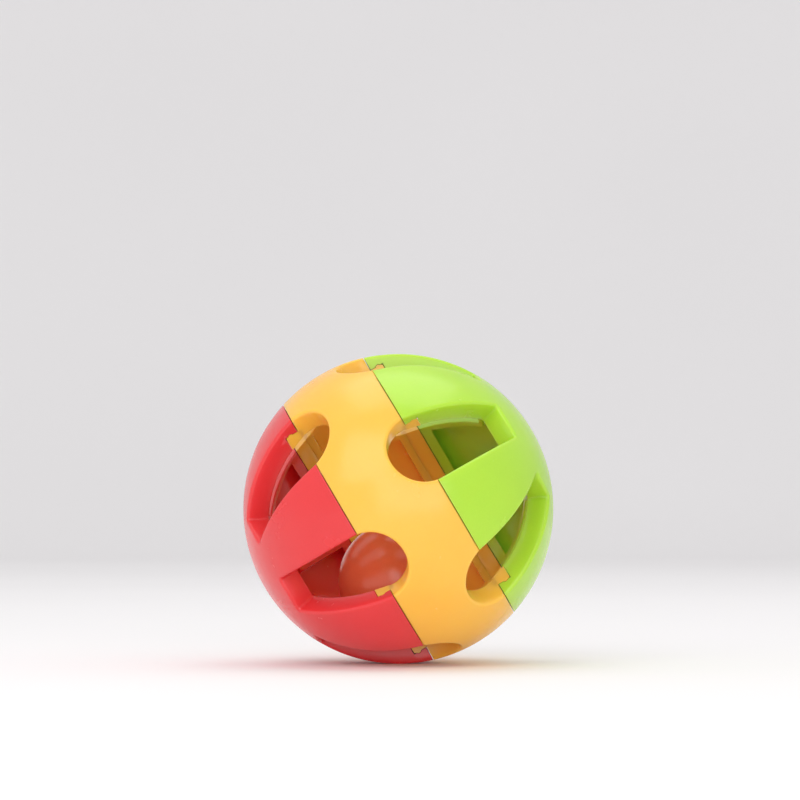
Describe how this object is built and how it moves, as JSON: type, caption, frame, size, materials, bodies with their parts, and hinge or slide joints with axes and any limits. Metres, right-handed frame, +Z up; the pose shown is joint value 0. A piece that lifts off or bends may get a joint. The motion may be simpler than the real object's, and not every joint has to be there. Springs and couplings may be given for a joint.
{
  "type": "slotted rattle ball",
  "caption": "Hollow ball of three moulded bands with long slots through its wall; the end caps twist on the centre ring and a loose rattle ball rolls inside.",
  "frame": {"origin": "centre of the ball", "axes": "+Z up as the ball rests; the axis that the bands turn about lies in the XZ plane, rising 30.6 degrees from +X towards +Z at the green pole; -Y faces the viewer"},
  "size_m": [0.075, 0.075, 0.075],
  "materials": {
    "yellow_plastic": "glossy as moulded",
    "red_plastic": "glossy as moulded",
    "green_plastic": "glossy as moulded",
    "orange_red_plastic": "glossy as moulded",
    "bead_plastic": "smooth as moulded"
  },
  "bodies": {
    "centre_ring": {"centre_ring": "yellow_plastic"},
    "red_end_cap": {"red_end_cap": "red_plastic"},
    "green_end_cap": {"green_end_cap": "green_plastic"},
    "inner_ball": {"inner_ball_front_half": "orange_red_plastic", "inner_ball_back_half": "orange_red_plastic"},
    "rattle_bead_1": {"rattle_bead_1": "bead_plastic"},
    "rattle_bead_2": {"rattle_bead_2": "bead_plastic"},
    "rattle_bead_3": {"rattle_bead_3": "bead_plastic"},
    "rattle_bead_4": {"rattle_bead_4": "bead_plastic"},
    "rattle_bead_5": {"rattle_bead_5": "bead_plastic"},
    "rattle_bead_6": {"rattle_bead_6": "bead_plastic"}
  },
  "joints": [
    {"name": "red_cap_twist", "type": "hinge", "parent": "centre_ring", "child": "red_end_cap", "pos_m": [0, 0, 0], "axis": [0.8607, 0, 0.509], "continuous": true},
    {"name": "green_cap_twist", "type": "hinge", "parent": "centre_ring", "child": "green_end_cap", "pos_m": [0, 0, 0], "axis": [0.8607, 0, 0.509], "continuous": true},
    {"name": "inner_ball_roll", "type": "hinge", "parent": "centre_ring", "child": "inner_ball", "pos_m": [0, 0, 0], "axis": [0.8607, 0, 0.509], "continuous": true},
    {"name": "rattle_bead_1_spin", "type": "hinge", "parent": "inner_ball", "child": "rattle_bead_1", "pos_m": [0, 0, -0.0283], "axis": [0, 1, 0], "continuous": true},
    {"name": "rattle_bead_2_spin", "type": "hinge", "parent": "inner_ball", "child": "rattle_bead_2", "pos_m": [-0.00441, 0, -0.02736], "axis": [0, 1, 0], "continuous": true},
    {"name": "rattle_bead_3_spin", "type": "hinge", "parent": "inner_ball", "child": "rattle_bead_3", "pos_m": [-0.00136, -0.0042, -0.02736], "axis": [-0.9511, 0.309, 0], "continuous": true},
    {"name": "rattle_bead_4_spin", "type": "hinge", "parent": "inner_ball", "child": "rattle_bead_4", "pos_m": [0.00357, -0.00259, -0.02736], "axis": [-0.5878, -0.809, 0], "continuous": true},
    {"name": "rattle_bead_5_spin", "type": "hinge", "parent": "inner_ball", "child": "rattle_bead_5", "pos_m": [0.00357, 0.00259, -0.02736], "axis": [0.5878, -0.809, 0], "continuous": true},
    {"name": "rattle_bead_6_spin", "type": "hinge", "parent": "inner_ball", "child": "rattle_bead_6", "pos_m": [-0.00136, 0.0042, -0.02736], "axis": [0.9511, 0.309, 0], "continuous": true}
  ]
}
